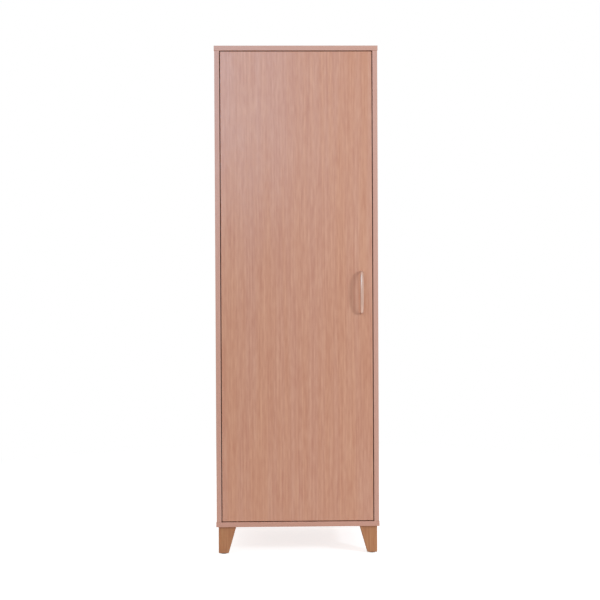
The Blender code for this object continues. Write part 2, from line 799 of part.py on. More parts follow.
def make_hinge_pin(name, cup, z):
    """The pin that the door turns on, held by holes in the two sides of the cup."""
    edge = abs(axis_x - cup_x) + HINGE_PIN_RADIUS
    half = math.sqrt(CUP_RADIUS**2 - edge**2)
    profile = [
        (0.0, half),
        (HINGE_PIN_RADIUS - HINGE_PIN_CHAMFER, half),
        (HINGE_PIN_RADIUS, half - HINGE_PIN_CHAMFER),
        (HINGE_PIN_RADIUS, HINGE_PIN_CHAMFER - half),
        (HINGE_PIN_RADIUS - HINGE_PIN_CHAMFER, -half),
        (0.0, -half),
    ]
    small_turned(name, profile, steel, (axis_x, axis_y, z), on_door=True)
    hole = rod(
        f"{name}_hole",
        HINGE_PIN_RADIUS + HOLE_CLEARANCE,
        2 * CUP_RADIUS,
        (axis_x, axis_y, z - CUP_RADIUS),
        UP,
        on_door=True,
    )
    cut(cup, hole)


def arm_path():
    """The arm's middle line from the pin, which is at (0, 0), to its rear end on the plate."""
    far_wall = cup_x + math.sqrt(cup_inner_radius**2 - (ARM_WIDTH / 2) ** 2)
    neck_x = far_wall - NECK_CLEARANCE - ARM_THICKNESS / 2 - axis_x
    sweep = math.hypot(axis_x - door_left, door_back - axis_y)
    web_x = web_low + ARM_THICKNESS / 2 - axis_inset
    corners = [
        (0.0, 0.0, 0.0),
        (neck_x, 0.0, ARM_BEND),
        (neck_x, sweep + SWEEP_CLEARANCE, ARM_BEND),
        (web_x, plate_front_y + ARM_LEAD - axis_y, ARM_BEND),
        (web_x, plate_rear_y - ARM_LEAD - axis_y, 0.0),
    ]
    return rounded(corners, is_open=True)


def make_arm(name, z):
    """The gooseneck arm: an eye round the pin, a bent neck and a channel over the plate's ridge."""
    arm = place(name, slab(name, strip(arm_path(), ARM_THICKNESS), ARM_WIDTH), nickel, (axis_x, axis_y, z))
    eye = rod(f"{name}_eye", ARM_EYE_RADIUS, ARM_WIDTH, (axis_x, axis_y, z - ARM_WIDTH / 2), UP)
    inner = PLATE_RIDGE_WIDTH / 2 + SEAT
    outer = inner + CHANNEL_WALL
    channel = box(
        f"{name}_channel",
        (plate_top + SEAT - side_inner, plate_front_y + 2 * ARM_LEAD, z - outer),
        (web_top - SEAT - side_inner, plate_rear_y - ARM_LEAD - SEAT, z + outer),
    )
    join(arm, eye, channel)
    over_ridge = box(
        f"{name}_over_ridge",
        (-side_inner, plate_front_y - CUTTER_SPARE, z - inner),
        (web_low - side_inner, plate_rear_y + CUTTER_SPARE, z + inner),
    )
    pin_hole = rod(
        f"{name}_pin_hole",
        HINGE_PIN_RADIUS + HOLE_CLEARANCE,
        ARM_WIDTH + 2 * CUTTER_SPARE,
        (axis_x, axis_y, z - ARM_WIDTH / 2 - CUTTER_SPARE),
        UP,
    )
    cut(arm, over_ridge, pin_hole)
    return arm


def make_plate(name, left_panel, z):
    """The plate on the side panel: a cross of base and wings, with a ridge that carries the arm."""
    stem = PLATE_STEM_WIDTH / 2
    wing = PLATE_WING_WIDTH / 2
    span = PLATE_SPAN / 2
    right_half = [
        (stem, PLATE_REAR_REACH),
        (stem, wing),
        (span, wing),
        (span, -wing),
        (stem, -wing),
        (stem, -PLATE_FRONT_REACH),
    ]
    left_half = [(-x, y) for x, y in reversed(right_half)]
    corners = [(x, y, PLATE_ROUND) for x, y in right_half + left_half]
    middle = (SEAT + PLATE_BASE / 2 - side_inner, plate_line_y, z)
    plate = place(name, slab(name, rounded(corners), PLATE_BASE), nickel, middle, RIGHT)
    ridge = box(
        f"{name}_ridge",
        (SEAT + PLATE_BASE / 2 - side_inner, plate_front_y + SEAT, z - PLATE_RIDGE_WIDTH / 2),
        (ridge_top - side_inner, plate_rear_y - SEAT, z + PLATE_RIDGE_WIDTH / 2),
    )
    join(plate, ridge)
    for end, way in (("lower", -1), ("upper", 1)):
        screw_name = f"{name}_screw_{end}"
        screw_z = z + way * PLATE_HOLE_SPACING / 2
        profile = screw_profile(
            PLATE_SCREW_HEAD_RADIUS,
            PLATE_SCREW_HEAD,
            PLATE_SCREW_RADIUS,
            PLATE_SCREW_GRIP + SEAT + plate_top,
            PLATE_SCREW_RADIUS,
        )
        head_x = plate_top + SEAT - side_inner
        small_turned(screw_name, profile, steel, (head_x, plate_line_y, screw_z), RIGHT)
        hole = rod(
            f"{screw_name}_hole",
            PLATE_SCREW_RADIUS + HOLE_CLEARANCE,
            CUTTER_SPARE + PLATE_SCREW_GRIP + SEAT,
            (CUTTER_SPARE - side_inner, plate_line_y, screw_z),
            LEFT,
        )
        cut(plate, hole)
        cut(left_panel, hole)
    return plate


def make_arm_screw(name, arm, plate, z):
    """The screw that clamps the arm to the plate, in a slot that is open at the arm's rear end."""
    slot_radius = ARM_SCREW_RADIUS + HOLE_CLEARANCE
    y = plate_rear_y - ARM_LEAD - ARM_SCREW_SETBACK
    head_x = web_top + SEAT - side_inner
    length = web_top + SEAT - ridge_top + ARM_SCREW_GRIP
    profile = screw_profile(ARM_SCREW_HEAD_RADIUS, ARM_SCREW_HEAD, ARM_SCREW_RADIUS, length)
    small_turned(name, profile, steel, (head_x, y, z), RIGHT)
    hole = rod(
        f"{name}_hole", slot_radius, CUTTER_SPARE + length + SEAT, (head_x + CUTTER_SPARE, y, z), LEFT
    )
    slot = box(
        f"{name}_slot",
        (web_low - CUTTER_SPARE - side_inner, y, z - slot_radius),
        (web_top + CUTTER_SPARE - side_inner, plate_rear_y, z + slot_radius),
    )
    cut(arm, hole, slot)
    cut(plate, hole)


def make_hinges(door, left_panel):
    for level, z in HINGE_HEIGHTS.items():
        cup = make_cup(f"hinge_cup_{level}", door, z)
        make_hinge_pin(f"hinge_pin_{level}", cup, z)
        arm = make_arm(f"hinge_arm_{level}", z)
        plate = make_plate(f"hinge_plate_{level}", left_panel, z)
        make_arm_screw(f"hinge_arm_screw_{level}", arm, plate, z)


clear_scene()
pieces = add_collection("wardrobe")
helpers = add_collection("cutters")
door_axis = bpy.data.objects.new("door_axis", None)
door_axis.location = (axis_x, axis_y, 0.0)
pieces.objects.link(door_axis)

laminate = add_finish("oak_laminate", (198, 150, 130), 0.45)
leg_wood = add_finish("leg_oak", (172, 122, 89), 0.5)
hardboard = add_finish("back_hardboard", (196, 158, 138), 0.6)
handle_metal = add_finish("handle_nickel", (214, 203, 197), 0.25, 1.0)
nickel = add_finish("hinge_nickel", (200, 198, 194), 0.3, 1.0)
chrome = add_finish("rail_chrome", (222, 222, 224), 0.12, 1.0)
steel = add_finish("zinc_steel", (176, 178, 182), 0.35, 1.0)
black_plastic = add_finish("glide_plastic", (38, 36, 35), 0.55)

case_boards = make_boards()
make_back(case_boards)
make_case_screws(case_boards)
make_legs(case_boards["bottom"])
make_shelf(case_boards)
make_rail()
door_board = make_door()
make_handle(door_board)
make_hinges(door_board, case_boards["left"])
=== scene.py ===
import json
import math

import bmesh
import bpy
from mathutils import Matrix, Quaternion, Vector


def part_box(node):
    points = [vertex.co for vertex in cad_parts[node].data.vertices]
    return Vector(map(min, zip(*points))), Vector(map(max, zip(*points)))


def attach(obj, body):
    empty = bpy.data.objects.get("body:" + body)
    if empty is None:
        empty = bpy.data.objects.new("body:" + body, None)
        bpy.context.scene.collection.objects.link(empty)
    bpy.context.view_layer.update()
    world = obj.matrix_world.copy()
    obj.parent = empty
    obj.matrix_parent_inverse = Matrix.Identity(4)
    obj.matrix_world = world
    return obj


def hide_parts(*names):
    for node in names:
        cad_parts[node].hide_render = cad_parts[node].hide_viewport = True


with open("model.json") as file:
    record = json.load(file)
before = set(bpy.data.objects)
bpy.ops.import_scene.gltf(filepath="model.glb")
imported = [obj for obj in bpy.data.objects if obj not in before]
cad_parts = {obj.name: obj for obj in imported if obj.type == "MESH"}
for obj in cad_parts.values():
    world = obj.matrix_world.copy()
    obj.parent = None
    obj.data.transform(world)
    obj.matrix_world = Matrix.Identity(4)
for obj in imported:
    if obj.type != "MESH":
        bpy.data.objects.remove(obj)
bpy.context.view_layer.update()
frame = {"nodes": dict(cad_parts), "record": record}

# Looks of the one-door wardrobe. The boards, the back panel, the legs and their bolts keep their packed
# solids and get print, hardboard, wood and zinc finishes. The handle, the hinges, the rail with its
# sockets, the screws, the pins and the glides are made finer here, in the same places and sizes.

X_AXIS = Vector((1, 0, 0))
Z_AXIS = Vector((0, 0, 1))
MM = 0.001
SMOOTH_BELOW = math.radians(40)  # edges that bend less are shaded as one surface


def linear(red, green, blue):
    """A screen colour, 0 to 255, as linear values with alpha."""
    shares = [value / 255 for value in (red, green, blue)]
    return (*[s / 12.92 if s <= 0.04045 else ((s + 0.055) / 1.055) ** 2.4 for s in shares], 1.0)


# Shader building


class Shader:
    """One material's node tree, with short calls that add a node and return what it puts out."""

    def __init__(self, name):
        self.material = bpy.data.materials.new(name)
        self.material.use_nodes = True
        self.tree = self.material.node_tree
        self.surface = self.tree.nodes["Principled BSDF"]

    def node(self, kind, inputs, **settings):
        made = self.tree.nodes.new("ShaderNode" + kind)
        for key, value in settings.items():
            setattr(made, key, value)
        for key, value in inputs.items():
            self.put(made.inputs[key], value)
        return made

    def put(self, socket, value):
        if isinstance(value, bpy.types.NodeSocket):
            self.tree.links.new(value, socket)
        else:
            socket.default_value = value

    def set(self, **values):
        for key, value in values.items():
            self.put(self.surface.inputs[key.replace("_", " ")], value)

    def math(self, operation, a, b=0.0, clamp=False):
        return self.node("Math", {0: a, 1: b}, operation=operation, use_clamp=clamp).outputs[0]

    def ramp(self, value, low, high, to_low=0.0, to_high=1.0):
        """A range of values turned smoothly into another."""
        inputs = {"Value": value, 1: low, 2: high, 3: to_low, 4: to_high}
        return self.node("MapRange", inputs, interpolation_type="SMOOTHSTEP").outputs[0]

    def mix(self, share, a, b):
        return self.node("Mix", {0: share, 6: a, 7: b}, data_type="RGBA").outputs[2]

    def scaled(self, vector, factor):
        return self.node("VectorMath", {0: vector, 3: factor}, operation="SCALE").outputs[0]

    def stretched(self, vector, scale, offset=(0.0, 0.0, 0.0)):
        return self.node("Mapping", {"Vector": vector, "Scale": scale, "Location": offset}).outputs[0]

    def noise(self, vector, detail=2.0, roughness=0.5):
        inputs = {"Vector": vector, "Scale": 1.0, "Detail": detail, "Roughness": roughness}
        return self.node("TexNoise", inputs).outputs[0]

    def place(self):
        """The point's place on the object at rest, in metres."""
        return self.node("TexCoord", {}).outputs["Object"]

    def facing(self, axis):
        """How far the surface faces along an axis of the object, either way, from 0 to 1."""
        normal = self.node("TexCoord", {}).outputs["Normal"]
        return self.math("ABSOLUTE", self.node("SeparateXYZ", {0: normal}).outputs[axis])

    def bump(self, height, strength, distance):
        bumped = self.node("Bump", {"Height": height, "Strength": strength, "Distance": distance})
        self.set(Normal=bumped.outputs[0])


SPREAD = (0.3, 0.7)  # range that most of a noise's values lie in
SEED_STEP = (3.1, 1.7, 2.3)  # metres from one board's piece of the pattern to the next one's
SWAY_SCALE = (6.0, 6.0, 1.1)  # bends in a metre, across and along the grain
SWAY = 8 * MM


def along_grain(shader, grain, seed):
    """The place with its third number running along the grain, bent a little as wood is."""
    parts = shader.node("SeparateXYZ", {0: shader.place()}).outputs
    order = [axis for axis in range(3) if axis != grain] + [grain]
    straight = shader.node("CombineXYZ", {i: parts[axis] for i, axis in enumerate(order)}).outputs[0]
    away = tuple(seed * step for step in SEED_STEP)
    straight = shader.stretched(straight, (1.0, 1.0, 1.0), away)
    sway = shader.noise(shader.stretched(straight, SWAY_SCALE), detail=1.0)
    sway = shader.math("MULTIPLY", shader.math("SUBTRACT", sway, 0.5), SWAY)
    shift = shader.node("CombineXYZ", {0: sway, 1: sway}).outputs[0]
    return shader.node("VectorMath", {0: straight, 1: shift}, operation="ADD").outputs[0]


FIGURE = (  # layers of streaks: how many across and along the grain in a metre, and how strongly each shows
    (155.0, 1.6, 0.29),
    (166.0, 6.5, 0.36),
    (176.0, 27.0, 0.30),
)
SHADE = (0.46, 0.88, 1.0)  # how far red, green and blue follow the grain, so that streaks keep the hue
BROAD_SCALE = (32.0, 32.0, 0.9)  # patches of tan and pink in a metre, across and along the grain
THIN_SCALE = (950.0, 950.0, 16.0)  # the same of fine streaks
PORE_SCALE = (1500.0, 1500.0, 42.0)
PORE_RANGE = (0.60, 0.70)  # of the noise that makes the pores


def add_grain(shader, wood, tan, pink, figure=1.0, fine=0.14, pore=0.14):
    """Straight-grained oak: returns its colour, its fine streaks and its pores."""
    broad = shader.noise(shader.stretched(wood, BROAD_SCALE), detail=1.0)
    thin = shader.noise(shader.stretched(wood, THIN_SCALE), detail=2.0)
    pores = shader.noise(shader.stretched(wood, PORE_SCALE), detail=1.0)
    pores = shader.ramp(pores, *PORE_RANGE)
    layers = [(thin, 0.5, fine), (pores, 0.0, -pore)]
    for across, along, share in FIGURE:
        streaks = shader.noise(shader.stretched(wood, (across, across, along)), detail=0.0)
        layers.append((streaks, 0.5, share * figure))
    change = 0.0
    for layer, middle, share in layers:
        part = shader.math("MULTIPLY", shader.math("SUBTRACT", layer, middle), share)
        change = shader.math("ADD", change, part)
    inputs = {0: SHADE, 1: change, 2: (1.0, 1.0, 1.0)}
    level = shader.node("VectorMath", inputs, operation="MULTIPLY_ADD").outputs[0]
    tone = shader.mix(shader.ramp(broad, *SPREAD), tan, pink)
    return shader.node("VectorMath", {0: tone, 1: level}, operation="MULTIPLY").outputs[0], thin, pores


def near_arris(shader, low, high, width):
    """How close a point is to where two faces of a box meet: 1 there, 0 a width away."""
    middle = (low + high) / 2
    offset = shader.node("VectorMath", {0: shader.place(), 1: middle}, operation="SUBTRACT").outputs[0]
    offset = shader.node("VectorMath", {0: offset}, operation="ABSOLUTE").outputs[0]
    inset = shader.node("VectorMath", {0: (high - low) / 2, 1: offset}, operation="SUBTRACT").outputs[0]
    a, b, c = shader.node("SeparateXYZ", {0: inset}).outputs
    least = shader.math("MINIMUM", a, b)
    most = shader.math("MAXIMUM", a, b)
    second = shader.math("MAXIMUM", least, shader.math("MINIMUM", most, c))
    return shader.ramp(second, 0.25 * width, width, 1.0, 0.0)


FACE_TAN = linear(201, 142, 113)
FACE_PINK = linear(200, 143, 118)
EDGE_TAN = linear(198, 145, 125)
EDGE_PINK = linear(200, 147, 129)
# Paler colour for worn print with a painted highlight along the arrises, and the colour the edge bands are
# paled towards, partly painted light.
PALE_EDGE_WEAR_AND_PAINTED_LIGHT = linear(210, 172, 156)
FACE_ROUGHNESS = (0.27, 0.33)
SMUDGE_ROUGHNESS = (0.0, 0.05)  # added by smudges
EDGE_DULLNESS = 0.12  # added to the roughness of the edge bands
SMUDGE_SCALE = 9.0  # smudges in a metre
WEAR_SCALE = 35.0  # rubbed patches in a metre
WEAR_AND_HIGHLIGHT_RANGE = (0.35, 0.7, 0.05, 0.35)  # noise from and to, and the share of the paler colour mixed in there, for worn print and a painted highlight
WEAR_AND_HIGHLIGHT_WIDTH = 1.6 * MM  # of the paler strip along an arris: worn print with a painted highlight
FACE_FACING = (0.6, 0.8)  # how squarely a face has to look along the thickness
PRINT_IOR = 1.56
PRINT_BUMP = (0.25, 0.00008)  # strength, and depth in metres


def between(one, other, share):
    """A colour part of the way from one to another."""
    return tuple(a + (b - a) * share for a, b in zip(one, other))


def oak_laminate(name, box, grain, thickness, paleness_with_painted_light, seed):
    """Oak print on a board, its grain along one axis, with a paler edge band whose paleness is partly
    painted light, and paler arrises of worn print with a painted highlight.
    """
    shader = Shader(name)
    wood = along_grain(shader, grain, seed)
    face, thin, pores = add_grain(shader, wood, FACE_TAN, FACE_PINK)
    # The band is paler than the face. How much paler is set per board, which paints each edge's light and
    # shade into its colour.
    edge_tan = between(EDGE_TAN, PALE_EDGE_WEAR_AND_PAINTED_LIGHT, paleness_with_painted_light)
    edge_pink = between(EDGE_PINK, PALE_EDGE_WEAR_AND_PAINTED_LIGHT, paleness_with_painted_light)
    edge = add_grain(shader, wood, edge_tan, edge_pink, figure=0.25, fine=0.10, pore=0.05)[0]
    is_face = shader.ramp(shader.facing(thickness), *FACE_FACING)
    rubbed = shader.noise(shader.stretched(shader.place(), (WEAR_SCALE,) * 3), detail=3.0)
    # Paler arrises: worn print in patches, with a painted highlight where a rounded edge would catch the
    # light.
    near = near_arris(shader, *box, WEAR_AND_HIGHLIGHT_WIDTH)
    wear_and_painted_highlight = shader.math("MULTIPLY", near, shader.ramp(rubbed, *WEAR_AND_HIGHLIGHT_RANGE))
    smudge = shader.noise(shader.stretched(shader.place(), (SMUDGE_SCALE,) * 3), detail=3.0)
    smudged = shader.ramp(smudge, *SPREAD, *SMUDGE_ROUGHNESS)
    gloss = shader.math("ADD", shader.ramp(thin, *SPREAD, *FACE_ROUGHNESS), smudged)
    gloss = shader.math("ADD", gloss, shader.ramp(is_face, 0.0, 1.0, EDGE_DULLNESS, 0.0))
    shader.set(
        Base_Color=shader.mix(wear_and_painted_highlight, shader.mix(is_face, edge, face), PALE_EDGE_WEAR_AND_PAINTED_LIGHT),
        Roughness=gloss,
        IOR=PRINT_IOR,
    )
    height = shader.math("SUBTRACT", thin, pores)
    shader.bump(height, *PRINT_BUMP)
    return shader.material


LEG_TAN = linear(171, 111, 69)
LEG_PINK = linear(179, 122, 81)
LEG_END = linear(122, 78, 48)
LEG_ROUGHNESS = (0.34, 0.46)
LEG_BUMP = (0.3, 0.0001)
LEG_SEED = 7.0
END_FACING = (0.85, 0.95)  # how squarely a face has to look along the leg to be end grain


def leg_oak(name):
    """Lacquered solid oak, grain down the leg, darker end grain underneath."""
    shader = Shader(name)
    wood = along_grain(shader, 2, LEG_SEED)
    colour, thin, pores = add_grain(shader, wood, LEG_TAN, LEG_PINK, figure=1.2, fine=0.26, pore=0.22)
    end = shader.ramp(shader.facing(2), *END_FACING)
    shader.set(
        Base_Color=shader.mix(end, colour, LEG_END),
        Roughness=shader.ramp(thin, *SPREAD, *LEG_ROUGHNESS),
    )
    shader.bump(shader.math("SUBTRACT", thin, pores), *LEG_BUMP)
    return shader.material


FIBRE_DARK = linear(160, 117, 86)
FIBRE_PALE = linear(187, 145, 113)
FIBRE_SCALE = 700.0  # fibres in a metre
FIBRE_ROUGHNESS = (0.5, 0.75)
FIBRE_BUMP = (0.4, 0.0002)
CLOUD_SCALE = 5.0  # broad paler and darker patches in a metre
CLOUD_LEVEL = (0.95, 1.05)
BACK_SEED = 11.0


def back_board(name):
    """Thin hardboard: the print on the inside, bare pressed fibre on the outside."""
    shader = Shader(name)
    wood = along_grain(shader, 2, BACK_SEED)
    face = add_grain(shader, wood, FACE_TAN, FACE_PINK)[0]
    place = shader.place()
    fibre = shader.noise(shader.stretched(place, (FIBRE_SCALE,) * 3), detail=5.0, roughness=0.65)
    cloud = shader.noise(shader.stretched(place, (CLOUD_SCALE,) * 3), detail=3.0)
    bare = shader.mix(shader.ramp(fibre, 0.25, 0.75), FIBRE_DARK, FIBRE_PALE)
    bare = shader.scaled(bare, shader.ramp(cloud, *SPREAD, *CLOUD_LEVEL))
    outward = shader.node("SeparateXYZ", {0: shader.node("TexCoord", {}).outputs["Normal"]}).outputs[1]
    is_rear = shader.ramp(outward, -0.5, 0.5)
    shader.set(
        Base_Color=shader.mix(is_rear, face, bare),
        Roughness=shader.ramp(fibre, 0.2, 0.8, *FIBRE_ROUGHNESS),
    )
    shader.bump(shader.math("MULTIPLY", fibre, is_rear), *FIBRE_BUMP)
    return shader.material


TARNISH_SCALE = 60.0  # duller patches in a metre
METAL_BUMP = (0.08, 0.00003)


def metal(name, colour, roughness, spread, stretch, variation=0.06, metallic=1.0):
    """Plated metal whose colour and gloss vary a little, along brushing where the stretch is uneven."""
    shader = Shader(name)
    brushed = shader.noise(shader.stretched(shader.place(), stretch), detail=3.0)
    cloud = shader.noise(shader.stretched(shader.place(), (TARNISH_SCALE,) * 3), detail=2.0)
    dull = tuple(part * (1.0 - variation) for part in colour[:3]) + (1.0,)
    shader.set(
        Base_Color=shader.mix(shader.ramp(cloud, *SPREAD), dull, colour),
        Metallic=metallic,
        Roughness=shader.ramp(brushed, *SPREAD, roughness - spread, roughness + spread),
    )
    shader.bump(brushed, *METAL_BUMP)
    return shader.material


MOULD_SCALE = 1800.0  # grains in a metre
MOULD_BUMP = (0.2, 0.00005)


def plastic(name, dark, light, roughness, spread):
    """Moulded plastic with a fine grained surface."""
    shader = Shader(name)
    grain = shader.noise(shader.stretched(shader.place(), (MOULD_SCALE,) * 3), detail=2.0)
    shader.set(
        Base_Color=shader.mix(shader.ramp(grain, *SPREAD), dark, light),
        Roughness=shader.ramp(grain, *SPREAD, roughness - spread, roughness + spread),
    )
    shader.bump(grain, *MOULD_BUMP)
    return shader.material


BOARDS = {  # axis of the grain and of the thickness, and how pale the edge band is, which differs per board as painted light and shade
    "door_panel": (2, 1, 0.0),
    "left_side_panel": (2, 0, 0.17),
    "right_side_panel": (2, 0, 0.2),
    "top_panel": (0, 2, 0.22),
    "bottom_panel": (0, 2, 0.0),
    "hat_shelf": (0, 2, 0.0),
}
# Satin nickel with a painted reflection: its warm pinkish colour stands in for the warm wood and room that
# the handle reflects.
handle_nickel_painted_reflection = metal(
    "nickel_painted_warm_reflection",
    linear(208, 170, 152),
    roughness=0.33,
    spread=0.05,
    stretch=(900.0, 900.0, 40.0),
    metallic=0.6,
)
hinge_nickel = metal(
    "hinge_nickel",
    linear(214, 212, 206),
    roughness=0.30,
    spread=0.03,
    stretch=(90.0, 90.0, 90.0),
    variation=0.03,
)
rail_chrome = metal(
    "rail_chrome",
    linear(226, 227, 230),
    roughness=0.10,
    spread=0.04,
    stretch=(20.0, 900.0, 900.0),
)
zinc = metal(
    "zinc_plate",
    linear(196, 198, 202),
    roughness=0.34,
    spread=0.03,
    stretch=(150.0, 150.0, 150.0),
    variation=0.04,
)
glide_plastic = plastic(
    "glide_plastic",
    linear(92, 64, 44),
    linear(120, 86, 60),
    roughness=0.55,
    spread=0.08,
)
LOOKS_BY_SLOT = {
    "back_board": back_board("hardboard"),
    "leg_wood": leg_oak("lacquered_oak"),
    "handle_metal": handle_nickel_painted_reflection,
    "rail_metal": rail_chrome,
    "hinge_metal": hinge_nickel,
    "fixing_steel": zinc,
    "glide_plastic": glide_plastic,
}
looks = {
    node: oak_laminate(f"oak_print_{node}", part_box(node), *board, seed + 1.0)
    for seed, (node, board) in enumerate(BOARDS.items())
}
for subpart in frame["record"]["subparts"]:
    node_name = subpart["node"]
    if node_name not in looks:
        looks[node_name] = LOOKS_BY_SLOT[subpart["material_slot"]]
    for material_slot in frame["nodes"][node_name].material_slots:
        material_slot.material = looks[node_name]


# Finer pieces


BODIES = {node: body for body, members in frame["record"]["behaviour"]["bodies"].items() for node in members}


def add_piece(name, shape, node, look=None, replaces=True):
    """Adds a bmesh that is already in place as a piece that rides, and has its finish, as a node does."""
    bmesh.ops.recalc_face_normals(shape, faces=shape.faces)
    mesh = bpy.data.meshes.new(name)
    shape.to_mesh(mesh)
    shape.free()
    mesh.shade_smooth()
    mesh.set_sharp_from_angle(angle=SMOOTH_BELOW)
    mesh.materials.append(look or looks[node])
    piece = bpy.data.objects.new(name, mesh)
    bpy.context.scene.collection.objects.link(piece)
    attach(piece, BODIES[node])
    if replaces:
        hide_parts(node)
    return piece


def axis_at(origin, direction):
    """A matrix whose third axis starts at an origin and points along a direction."""
    return Matrix.Translation(origin) @ Vector(direction).to_track_quat("Z", "Y").to_matrix().to_4x4()


def arc(radius, height, bend, start, end, steps=5):
    """Points of (radius, height) on an arc of a profile, between two angles in degrees."""
    turns = [math.radians(start + (end - start) * i / steps) for i in range(steps + 1)]
    return [(radius + bend * math.cos(turn), height + bend * math.sin(turn)) for turn in turns]


def add_turned(shape, matrix, profile, sides=64, is_ring=False):
    """Adds a profile of (radius, height) turned about the matrix's third axis. Returns its rings."""
    rings = []
    for radius, height in profile:
        turns = [2 * math.pi * k / sides for k in range(sides if radius else 1)]
        spots = [Vector((radius * math.cos(turn), radius * math.sin(turn), height)) for turn in turns]
        rings.append([shape.verts.new(matrix @ spot) for spot in spots])
    for one, other in zip(rings, rings[1:] + (rings[:1] if is_ring else [])):
        for k in range(sides):
            places = ((one, k), (one, k + 1), (other, k + 1), (other, k))
            corners = [ring[i % len(ring)] for ring, i in places]
            shape.faces.new(list(dict.fromkeys(corners)))
    return rings


def turned_shape(origin, direction, profile, sides=64, is_ring=False):
    shape = bmesh.new()
    add_turned(shape, axis_at(origin, direction), profile, sides, is_ring)
    return shape


def turned_piece(node, origin, direction, profile, sides=64, is_ring=False):
    add_piece(f"{node}_smooth", turned_shape(origin, direction, profile, sides, is_ring), node)


def end_points(node, axis, sign):
    """The middles of a node's two ends along an axis, the one on the sign's side first, and its radius."""
    low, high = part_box(node)
    first, last = (low + high) / 2, (low + high) / 2
    first[axis], last[axis] = (high[axis], low[axis]) if sign > 0 else (low[axis], high[axis])
    across = (axis + 1) % 3
    return first, last, (high[across] - low[across]) / 2


CROSS_ARM = 0.26  # half the width of a cross recess's arm, as a share of the arm's length
HEAD_FLAT = 0.62  # radius of the flat on top of a head, as a share of the head's
HEAD_DOME = 0.5  # height of the dome round it, as a share of the head's
DOME_STEPS = 6
RECESS_TAPER = 0.72  # size of a recess's floor, as a share of its mouth's


def cross_recess(size):
    """Corners of a cross, by quarters."""
    arm = CROSS_ARM * size
    quarter = [Vector((size, -arm)), Vector((size, arm)), Vector((arm, arm))]
    return [Matrix.Rotation(math.pi / 2 * i, 2) @ spot for i in range(4) for spot in quarter]


def hexagon_recess(size):
    turns = [math.pi / 3 * i for i in range(6)]
    return [Vector((size * math.cos(turn), size * math.sin(turn))) for turn in turns]


def add_screw(shape, matrix, head_radius, head, radius, length, recess, depth, sides=48):
    """A screw whose head's top is at height 0: a domed head with a recess in it, and a pointed shank."""
    flat = HEAD_FLAT * head_radius
    dome = [
        (flat + (head_radius - flat) * math.sin(turn), (math.cos(turn) - 1) * HEAD_DOME * head)
        for turn in (math.pi / 2 * i / DOME_STEPS for i in range(DOME_STEPS + 1))
    ]
    profile = dome + [(head_radius, -head), (radius, -head), (radius, radius - length), (0.0, -length)]
    rim = add_turned(shape, matrix, profile, sides)[0]
    mouth = [shape.verts.new(matrix @ Vector((*spot, 0.0))) for spot in recess]
    floor = [shape.verts.new(matrix @ Vector((*(RECESS_TAPER * spot), -depth))) for spot in recess]
    count = len(recess)
    loops = [shape.edges.new((mouth[i - 1], mouth[i])) for i in range(count)]
    loops += [shape.edges.get((rim[i - 1], rim[i])) for i in range(sides)]
    bmesh.ops.triangle_fill(shape, use_beauty=True, edges=loops)
    for i in range(count):
        shape.faces.new((mouth[i - 1], mouth[i], floor[i], floor[i - 1]))
    shape.faces.new(floor)


def screw_piece(node, axis, sign, sizes):
    """A node that is a screw along an axis, its head on the sign's side, with a recess in the head."""
    top, tip, head_radius = end_points(node, axis, sign)
    shape = bmesh.new()
    add_screw(shape, axis_at(top, top - tip), head_radius, length=(top - tip).length, **sizes)
    add_piece(f"{node}_fine", shape, node)


LEVELS = ("lower", "middle", "upper")
CORNERS = [f"{end}_{side}" for end in ("front", "rear") for side in ("left", "right")]
PLATE_SCREW = {"head": 2 * MM, "radius": 2.8 * MM, "recess": cross_recess(2.3 * MM), "depth": 1.2 * MM}
ARM_SCREW = {"head": 2.2 * MM, "radius": 2.2 * MM, "recess": cross_recess(2.2 * MM), "depth": 1.2 * MM}
HANDLE_SCREW = {"head": 2.5 * MM, "radius": 2 * MM, "recess": cross_recess(2 * MM), "depth": 1.3 * MM}
CASE_SCREW = {"head": 4 * MM, "radius": 3.5 * MM, "recess": hexagon_recess(2.3 * MM), "depth": 2.5 * MM}
SOCKET_SCREW = {
    "head_radius": 2.7 * MM,
    "head": 0.8 * MM,
    "radius": 1.5 * MM,
    "length": 16 * MM,
    "recess": cross_recess(1.4 * MM),
    "depth": 0.7 * MM,
}


def make_screws():
    """The screws with a node: cross recesses at the hinges and the handle, hexagons in the case."""
    for level in LEVELS:
        for end in ("lower", "upper"):
            screw_piece(f"hinge_plate_{level}_screw_{end}", 0, 1, PLATE_SCREW)
        screw_piece(f"hinge_arm_screw_{level}", 0, 1, ARM_SCREW)
    for end in ("lower", "upper"):
        screw_piece(f"handle_screw_{end}", 1, 1, HANDLE_SCREW)
    for corner in CORNERS:
        for level, sign in (("bottom", -1), ("top", 1)):
            screw_piece(f"case_screw_{level}_{corner}", 2, sign, CASE_SCREW)


